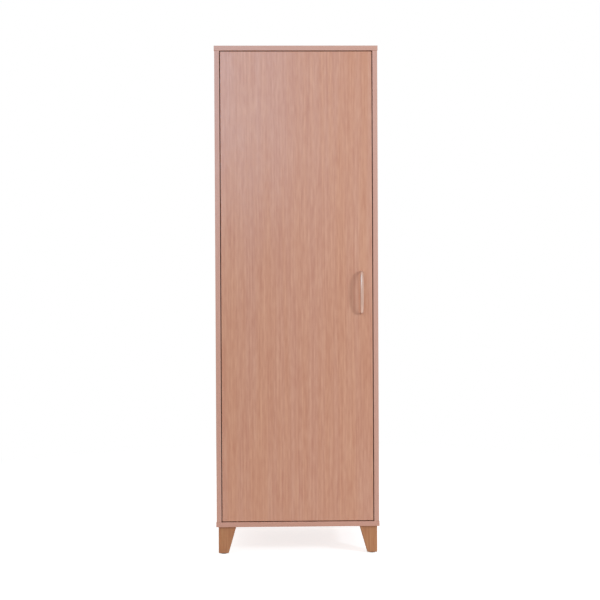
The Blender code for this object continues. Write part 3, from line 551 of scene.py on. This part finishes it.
def make_rail():
    """The hanging tube and its two sockets, each with two small screws through its flange."""
    left, right, radius = end_points("hanging_rail", 0, -1)
    length = (right - left).length
    wall = 1.2 * MM
    lip = 0.3 * MM
    profile = [
        (radius - lip, 0.0),
        (radius, lip),
        (radius, length - lip),
        (radius - lip, length),
        (radius - wall, length),
        (radius - wall, 0.0),
    ]
    turned_piece("hanging_rail", left, right - left, profile, sides=96, is_ring=True)
    for side, sign in (("left", -1), ("right", 1)):
        node = f"rail_socket_{side}"
        foot, mouth, flange_radius = end_points(node, 0, sign)
        depth = (mouth - foot).length
        flange = 4 * MM
        bend = 1 * MM
        fit = 0.3 * MM  # round the rail
        socket_wall = 2.5 * MM
        inner = radius + fit
        outer = inner + socket_wall
        profile = [(0.0, 0.0), (flange_radius, 0.0)]
        profile += arc(flange_radius - bend, flange - bend, bend, 0, 90)
        profile += arc(outer + bend, flange + bend, bend, 270, 180)
        profile += arc(outer - bend, depth - bend, bend, 0, 90)
        profile += [(inner + lip, depth), (inner, depth - lip), (inner, flange), (0.0, flange)]
        turned_piece(node, foot, mouth - foot, profile, sides=80)
        out = (mouth - foot).normalized()
        for name, way in (("lower", -1), ("upper", 1)):
            proud = flange + SOCKET_SCREW["head"]
            spot = foot + out * proud + Z_AXIS * way * (outer + flange_radius) / 2
            shape = bmesh.new()
            add_screw(shape, axis_at(spot, out), **SOCKET_SCREW)
            add_piece(f"{node}_screw_{name}", shape, node, zinc, replaces=False)


def make_pins():
    """Shelf pins with a rounded end, and the hinges' pins."""
    for corner in CORNERS:
        node = f"shelf_pin_{corner}"
        sign = -1 if corner.endswith("left") else 1
        hidden, end, radius = end_points(node, 0, sign)
        length = (end - hidden).length
        shank = 2.4 * MM
        collar = 8.3 * MM  # hidden end to where the pin gets thicker
        bend = 1 * MM
        profile = [(0.0, 0.0), (shank, 0.0), (shank, collar), (radius, collar)]
        profile += arc(radius - bend, length - bend, bend, 0, 90) + [(0.0, length)]
        turned_piece(node, hidden, end - hidden, profile, sides=40)
    for level in LEVELS:
        node = f"hinge_pin_{level}"
        low, high, radius = end_points(node, 2, -1)
        length = (high - low).length
        bend = 0.3 * MM
        profile = [(0.0, 0.0)] + arc(radius - bend, bend, bend, 270, 360)
        profile += arc(radius - bend, length - bend, bend, 0, 90) + [(0.0, length)]
        turned_piece(node, low, high - low, profile, sides=32)


SEAT = 0.3 * MM  # left between pieces that rest on each other
ARC_STEP = math.radians(9)
SLOT_ROUND = 0.99  # of a slot's half width, just under 1 so that its two arcs don't meet


def round_corners(corners, is_open=False):
    """Points of a line through corners of (x, y, radius), with an arc at each corner that has a radius."""
    points = []
    for i, (x, y, radius) in enumerate(corners):
        here = Vector((x, y))
        if radius == 0 or (is_open and i in (0, len(corners) - 1)):
            points.append(here)
            continue
        to_last = (Vector(corners[i - 1][:2]) - here).normalized()
        to_next = (Vector(corners[(i + 1) % len(corners)][:2]) - here).normalized()
        half = to_last.angle(to_next) / 2
        centre = here + (to_last + to_next).normalized() * radius / math.sin(half)
        first = here + to_last * radius / math.tan(half) - centre
        last = here + to_next * radius / math.tan(half) - centre
        sweep = first.angle(last) * math.copysign(1, first.cross(last))
        steps = max(2, round(abs(sweep) / ARC_STEP))
        points += [centre + Matrix.Rotation(sweep * k / steps, 2) @ first for k in range(steps + 1)]
    return points


def strip(path, thickness):
    """The outline of a strip of even thickness along an open path."""
    left = []
    right = []
    for i, here in enumerate(path):
        along = (path[min(i + 1, len(path) - 1)] - path[max(i - 1, 0)]).normalized()
        across = Vector((-along.y, along.x)) * thickness / 2
        left.append(here + across)
        right.append(here - across)
    return left + right[::-1]


def prism(outline, axis, start, end, rim=0.0):
    """A bmesh of a flat outline drawn out along an axis, its two rims rounded."""
    shape = bmesh.new()
    loops = []
    for place in (start, end):
        spots = [[first, second] for first, second in outline]
        for spot in spots:
            spot.insert(axis, place)
        loops.append([shape.verts.new(spot) for spot in spots])
    caps = [shape.faces.new(loop) for loop in loops]
    for i in range(len(outline)):
        shape.faces.new((loops[0][i - 1], loops[0][i], loops[1][i], loops[1][i - 1]))
    bmesh.ops.recalc_face_normals(shape, faces=shape.faces)
    if rim:
        edges = [edge for cap in caps for edge in cap.edges]
        bmesh.ops.bevel(shape, geom=edges, offset=rim, segments=3, profile=0.5, affect="EDGES")
    return shape


def helper_object(shape):
    bmesh.ops.recalc_face_normals(shape, faces=shape.faces)
    mesh = bpy.data.meshes.new("helper")
    shape.to_mesh(mesh)
    shape.free()
    helper = bpy.data.objects.new("helper", mesh)
    bpy.context.scene.collection.objects.link(helper)
    return helper


def fused(shape, additions, cutters=()):
    """One bmesh of a shape with others joined to it, and cutters taken away from them all."""
    base = helper_object(shape)
    helpers = [base]
    for operation, others in (("UNION", additions), ("DIFFERENCE", cutters)):
        for other in others:
            helpers.append(helper_object(other))
            boolean = base.modifiers.new(operation, "BOOLEAN")
            boolean.operation = operation
            boolean.object = helpers[-1]
    result = bmesh.new()
    result.from_object(base, bpy.context.evaluated_depsgraph_get())
    for helper in helpers:
        mesh = helper.data
        bpy.data.objects.remove(helper)
        bpy.data.meshes.remove(mesh)
    return result


def make_cup(level):
    """The bowl in the door's back, with a lip, two wings flush against the wood and a dowel under each."""
    node = f"hinge_cup_{level}"
    low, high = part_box(node)
    door_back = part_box("door_panel")[1].y
    out_of_door = Vector((0, 1, 0))
    into_door = Vector((0, -1, 0))
    radius = 17.5 * MM
    wall = 1 * MM
    depth = 14 * MM
    reach = 1.5 * MM  # of the lip past the bowl
    floor_bend = 2.5 * MM
    lip = 0.45 * MM
    flange = radius + reach
    inner = radius - wall
    top = high.y - door_back
    spot = Vector((low.x + flange, door_back, (low.z + high.z) / 2))
    profile = [(0.0, wall - depth)]
    profile += arc(inner - floor_bend, wall - depth + floor_bend, floor_bend, 270, 360)
    profile += arc(inner + lip, top - lip, lip, 180, 90)
    profile += arc(flange - lip, top - lip, lip, 90, 0)
    profile += [(flange, SEAT), (radius, SEAT), (radius, wall - depth)]
    profile += [(radius - wall, -depth), (0.0, -depth)]
    bowl = turned_shape(spot, out_of_door, profile, sides=80)

    wing_lift = 0.2 * MM
    wing = 0.8 * MM
    wing_rim = 0.2 * MM
    wing_low = SEAT + wing_lift
    wing_top = wing_low + wing
    wing_middle = 9.5 * MM  # from the bowl's middle
    half_width = 6 * MM
    half_span = (high.z - low.z) / 2
    corner = 4.8 * MM
    outline = round_corners([
        (spot.x + wing_middle + right * half_width, spot.z + up * half_span, corner)
        for right, up in ((-1, -1), (1, -1), (1, 1), (-1, 1))
    ])
    wings = prism(outline, 1, door_back + wing_low, door_back + wing_top, wing_rim)
    mouth_radius = radius - wall / 2
    mouth_profile = [(0.0, 0.0), (mouth_radius, 0.0), (mouth_radius, 2 * depth), (0.0, 2 * depth)]
    mouth = turned_shape(spot - Vector((0, depth, 0)), out_of_door, mouth_profile, sides=80)
    additions = [fused(wings, [], [mouth])]

    dowel = 4 * MM
    dowel_length = 11 * MM
    dowel_chamfer = 0.5 * MM
    dowel_offset = 22.5 * MM  # above and below the bowl's middle
    profile = [(0.0, 0.0), (dowel, 0.0), (dowel, dowel_length - dowel_chamfer)]
    profile += [(dowel - dowel_chamfer, dowel_length), (0.0, dowel_length)]
    for way in (-1, 1):
        dowel_spot = spot + Vector((wing_middle, (wing_low + wing_top) / 2, way * dowel_offset))
        additions.append(turned_shape(dowel_spot, into_door, profile, sides=32))
    add_piece(f"{node}_fine", fused(bowl, additions), node)


def make_arm(level):
    """The gooseneck arm: an eye round the pin, a bent neck and a channel over the plate's ridge."""
    node = f"hinge_arm_{level}"
    low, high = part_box(node)
    pin_low, pin_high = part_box(f"hinge_pin_{level}")
    plate_low, plate_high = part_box(f"hinge_plate_{level}")
    door_low, door_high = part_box("door_panel")
    axis = (pin_low + pin_high) / 2
    thickness = 3.6 * MM
    half_width = 5.5 * MM
    bend = 6 * MM
    lead = 3 * MM  # plate's front end to the arm's straight stretch
    ease = 0.1 * MM  # that the bar and the eye stay inside the solid's faces
    sweep_clearance = 1 * MM
    web_low = plate_high.x + SEAT
    web_top = web_low + thickness
    web = (web_low + web_top) / 2
    neck = high.x - thickness / 2
    sweep = math.hypot(axis.x - door_low.x, door_high.y - axis.y) + sweep_clearance
    channel_front = plate_low.y + 2 * lead
    path = round_corners(
        [
            (axis.x, axis.y, 0.0),
            (neck, axis.y, bend),
            (neck, axis.y + sweep, bend),
            (web, plate_low.y + lead, bend),
            (web, channel_front + 2 * lead, 0.0),
        ],
        is_open=True,
    )
    bar_rim = 0.5 * MM
    bar = prism(strip(path, thickness - 2 * ease), 2, axis.z - half_width, axis.z + half_width, bar_rim)

    eye_radius = 2.9 * MM
    eye_bend = 0.4 * MM
    eye_length = 2 * half_width - ease
    profile = [(0.0, 0.0)]
    profile += arc(eye_radius - eye_bend, eye_bend, eye_bend, 270, 360)
    profile += arc(eye_radius - eye_bend, eye_length - eye_bend, eye_bend, 0, 90)
    profile += [(0.0, eye_length)]
    eye = turned_shape(axis - Z_AXIS * (half_width - ease / 2), Z_AXIS, profile, sides=48)

    channel_wall = 1.6 * MM
    channel_bend = 1.5 * MM
    channel_rim = 0.3 * MM
    outer = (high.z - low.z) / 2
    inner = outer - channel_wall
    corners = [
        (low.x, axis.z - outer, 0.0),
        (web_top, axis.z - outer, channel_bend),
        (web_top, axis.z + outer, channel_bend),
        (low.x, axis.z + outer, 0.0),
        (low.x, axis.z + inner, 0.0),
        (web_low, axis.z + inner, 0.0),
        (web_low, axis.z - inner, 0.0),
        (low.x, axis.z - inner, 0.0),
    ]
    channel = prism(round_corners(corners), 1, channel_front, high.y - SEAT, channel_rim)

    screw_low, screw_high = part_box(f"hinge_arm_screw_{level}")
    screw = (screw_low + screw_high) / 2
    slot = 2.5 * MM
    corners = [
        (screw.y - slot, screw.z - slot, slot * SLOT_ROUND),
        (high.y + slot, screw.z - slot, 0.0),
        (high.y + slot, screw.z + slot, 0.0),
        (screw.y - slot, screw.z + slot, slot * SLOT_ROUND),
    ]
    slot_cutter = prism(round_corners(corners), 0, web_low - thickness, web_top + thickness)

    hole_clearance = 0.2 * MM
    spare = 1.0 * MM  # that the cutter stands out at each end
    hole = (pin_high.x - pin_low.x) / 2 + hole_clearance
    hole_end = 2 * half_width + spare
    hole_profile = [(0.0, -spare), (hole, -spare), (hole, hole_end), (0.0, hole_end)]
    pin_hole = turned_shape(axis - Z_AXIS * half_width, Z_AXIS, hole_profile, sides=32)
    add_piece(f"{node}_fine", fused(bar, [eye, channel], [slot_cutter, pin_hole]), node)


def make_plate(level):
    """The plate on the side panel: a cross with rounded corners and the ridge that carries the arm."""
    node = f"hinge_plate_{level}"
    low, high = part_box(node)
    middle = (low.z + high.z) / 2
    screw_low, screw_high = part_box(f"{node}_screw_upper")
    line = (screw_low.y + screw_high.y) / 2
    stem = 10 * MM  # half widths of the cross's two arms
    wing = 6.5 * MM
    span = (high.z - low.z) / 2
    corner = 3 * MM
    base = 2 * MM
    base_rim = 0.4 * MM
    half = [
        (high.y, stem),
        (line + wing, stem),
        (line + wing, span),
        (line - wing, span),
        (line - wing, stem),
        (low.y, stem),
    ]
    corners = [(y, middle + z, corner) for y, z in half]
    corners += [(y, middle - z, corner) for y, z in reversed(half)]
    plate = prism(round_corners(corners), 0, low.x, low.x + base, base_rim)

    ridge = 5.5 * MM  # half its width
    ridge_bend = 0.8 * MM
    ridge_rim = 0.3 * MM
    corners = [
        (low.x + base / 2, middle - ridge, 0.0),
        (high.x, middle - ridge, ridge_bend),
        (high.x, middle + ridge, ridge_bend),
        (low.x + base / 2, middle + ridge, 0.0),
    ]
    back = prism(round_corners(corners), 1, low.y + SEAT, high.y - SEAT, ridge_rim)
    add_piece(f"{node}_fine", fused(plate, [back]), node)


def make_hinges():
    for level in LEVELS:
        make_cup(level)
        make_arm(level)
        make_plate(level)


def make_glides():
    """Moulded glides, with a rounded foot and a stem up into the leg."""
    for corner in CORNERS:
        node = f"leg_{corner}_glide"
        foot, top, radius = end_points(node, 2, -1)
        height = 3 * MM
        bend = 1.1 * MM
        edge = 0.3 * MM
        stem = 2 * MM
        length = (top - foot).length
        profile = [(0.0, 0.0)] + arc(radius - bend, bend, bend, 270, 360)
        profile += [(radius, height - edge), (radius - edge, height), (stem, height)]
        profile += [(stem, length - stem), (0.0, length)]
        turned_piece(node, foot, top - foot, profile, sides=64)


def rounded(value, squareness):
    """A sine or cosine bent so that it draws an ellipse at 2, and a squarer curve above that."""
    return math.copysign(abs(value) ** (2 / squareness), value)


def bow_path(low, high, foot_thickness, foot_length, thickness, fullness, steps):
    """Points along the handle's middle as (distance from the door, height, thickness), from its box."""
    half = (high.z - low.z) / 2 - foot_thickness / 2
    rise = (high.y - low.y) - foot_length - thickness / 2
    points = [(0.0, -half, foot_thickness), (foot_length / 2, -half, foot_thickness)]
    for i in range(steps + 1):
        angle = math.pi * i / steps
        height = half * rounded(-math.cos(angle), fullness)
        bulge = rounded(max(math.sin(angle), 0.0), fullness)
        thick = foot_thickness + (thickness - foot_thickness) * bulge
        points.append((foot_length + rise * bulge, height, thick))
    points += [(foot_length / 2, half, foot_thickness), (0.0, half, foot_thickness)]
    return points


def make_handle():
    """The bow handle as one smooth sweep of an oval section, thinner towards its feet."""
    low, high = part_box("door_handle")
    middle = (low + high) / 2
    thickness = 9 * MM
    path = bow_path(
        low,
        high,
        foot_thickness=6.8 * MM,
        foot_length=6.0 * MM,
        thickness=thickness,
        fullness=2.2,
        steps=72,
    )
    flatness = (high.x - low.x) / thickness
    sides = 40
    squareness = 2.8  # of the section: 2 is an ellipse
    turns = [2 * math.pi * k / sides for k in range(sides)]
    section = [(rounded(math.cos(turn), squareness), rounded(math.sin(turn), squareness)) for turn in turns]
    shape = bmesh.new()
    rings = []
    for i, (out, height, thick) in enumerate(path):
        last = path[max(i - 1, 0)]
        following = path[min(i + 1, len(path) - 1)]
        along = Vector((0.0, last[0] - following[0], following[1] - last[1])).normalized()
        across = along.cross(X_AXIS)
        centre = Vector((middle.x, high.y - out, middle.z + height))
        spots = [centre + thick / 2 * (flatness * wide * X_AXIS + deep * across) for wide, deep in section]
        rings.append([shape.verts.new(spot) for spot in spots])
    for one, other in zip(rings, rings[1:]):
        for k in range(sides):
            shape.faces.new((one[k], one[(k + 1) % sides], other[(k + 1) % sides], other[k]))
    shape.faces.new(rings[0])
    shape.faces.new(rings[-1])
    add_piece("bow_handle", shape, "door_handle")


make_handle()
make_screws()
make_rail()
make_pins()
make_hinges()
make_glides()

# Floor, light and camera

FLOOR_RADIUS = 3.2
FLOOR_FADE = (1.1, 2.6)  # where the floor turns into the white round it
FLOOR_PALENESS = 0.63
FLOOR_GLOW = (0.72, 1.0)  # in the middle and past the fade, so that both look white
WORLD_LEVEL = 0.90


def make_floor():
    shape = bmesh.new()
    bmesh.ops.create_circle(shape, cap_ends=True, segments=96, radius=FLOOR_RADIUS)
    mesh = bpy.data.meshes.new("floor")
    shape.to_mesh(mesh)
    shape.free()
    floor = bpy.data.objects.new("floor", mesh)
    bpy.context.scene.collection.objects.link(floor)
    shader = Shader("pale_floor")
    shader.tree.nodes.remove(shader.surface)
    distance = shader.node("VectorMath", {0: shader.place()}, operation="LENGTH").outputs["Value"]
    fade = shader.ramp(distance, *FLOOR_FADE)
    rays = shader.node("LightPath", {}).outputs
    seen = shader.math("MAXIMUM", rays["Is Camera Ray"], rays["Is Glossy Ray"])
    seen = shader.math("MAXIMUM", seen, rays["Is Transmission Ray"])
    glow = shader.math("MULTIPLY", seen, shader.ramp(fade, 0.0, 1.0, *FLOOR_GLOW))
    pale = shader.node("CombineXYZ", dict.fromkeys(range(3), FLOOR_PALENESS)).outputs[0]
    pale = shader.scaled(pale, shader.math("SUBTRACT", 1.0, fade))
    diffuse = shader.node("BsdfDiffuse", {"Color": pale}).outputs[0]
    emission = shader.node("Emission", {"Strength": glow}).outputs[0]
    both = shader.node("AddShader", {0: diffuse, 1: emission}).outputs[0]
    output = shader.tree.nodes["Material Output"]
    shader.tree.links.new(both, output.inputs["Surface"])
    mesh.materials.append(shader.material)


def make_world(level):
    world = bpy.data.worlds.new("studio")
    bpy.context.scene.world = world
    world.use_nodes = True
    tree = world.node_tree
    background = tree.nodes["Background"]
    background.inputs["Color"].default_value = (1.0, 1.0, 1.0, 1.0)
    rays = tree.nodes.new("ShaderNodeLightPath")
    seen = rays.outputs["Is Camera Ray"]
    for kind in ("Is Glossy Ray", "Is Transmission Ray"):
        either = tree.nodes.new("ShaderNodeMath")
        either.operation = "MAXIMUM"
        tree.links.new(seen, either.inputs[0])
        tree.links.new(rays.outputs[kind], either.inputs[1])
        seen = either.outputs[0]
    strength = tree.nodes.new("ShaderNodeMapRange")
    strength.inputs["To Min"].default_value = level
    tree.links.new(seen, strength.inputs["Value"])
    tree.links.new(strength.outputs[0], background.inputs["Strength"])


def add_lamp(name, location, target, size, power, colour, in_diffuse=True, in_gloss=True):
    data = bpy.data.lights.new(name, "AREA")
    data.shape = "RECTANGLE"
    data.size, data.size_y = size
    data.energy = power
    data.color = colour
    lamp = bpy.data.objects.new(name, data)
    lamp.location = location
    lamp.rotation_euler = (Vector(target) - Vector(location)).to_track_quat("-Z", "Y").to_euler()
    lamp.visible_camera = False
    lamp.visible_diffuse = in_diffuse
    lamp.visible_glossy = in_gloss
    bpy.context.scene.collection.objects.link(lamp)


def make_camera():
    """A near, level camera a little to the left, as the photograph's lines show."""
    distance = 3.9
    frame_width = 2.2  # that the picture spans at the front of the case
    yaw, pitch, roll = math.radians(1.0), math.radians(0.4), math.radians(-0.28)
    target = Vector((0.0112, -0.24485, 0.9334))
    data = bpy.data.cameras.new("camera")
    data.sensor_width = 36.0
    data.lens = data.sensor_width * distance / frame_width
    camera = bpy.data.objects.new("camera", data)
    camera.location = target + distance * Vector((-math.sin(yaw), -math.cos(yaw), math.sin(pitch)))
    look = (target - camera.location).to_track_quat("-Z", "Y")
    camera.rotation_mode = "QUATERNION"
    camera.rotation_quaternion = look @ Quaternion(Z_AXIS, roll)
    bpy.context.scene.collection.objects.link(camera)
    bpy.context.scene.camera = camera


make_floor()
make_world(WORLD_LEVEL)
add_lamp(
    "key",
    location=(2.29, -1.85, 1.50),
    target=(0.1, -0.24, 0.95),
    size=(0.36, 0.36),
    power=31.3,
    colour=(0.72, 0.90, 1.0),
    in_gloss=False,
)
add_lamp(
    "window",
    location=(-0.85, -2.7, 2.55),
    target=(-0.85, 0.0, 2.55),
    size=(1.5, 2.1),
    power=39.0,
    colour=(0.28, 0.64, 1.0),
    in_diffuse=False,
)
make_camera()
bpy.context.scene.view_settings.view_transform = "Standard"
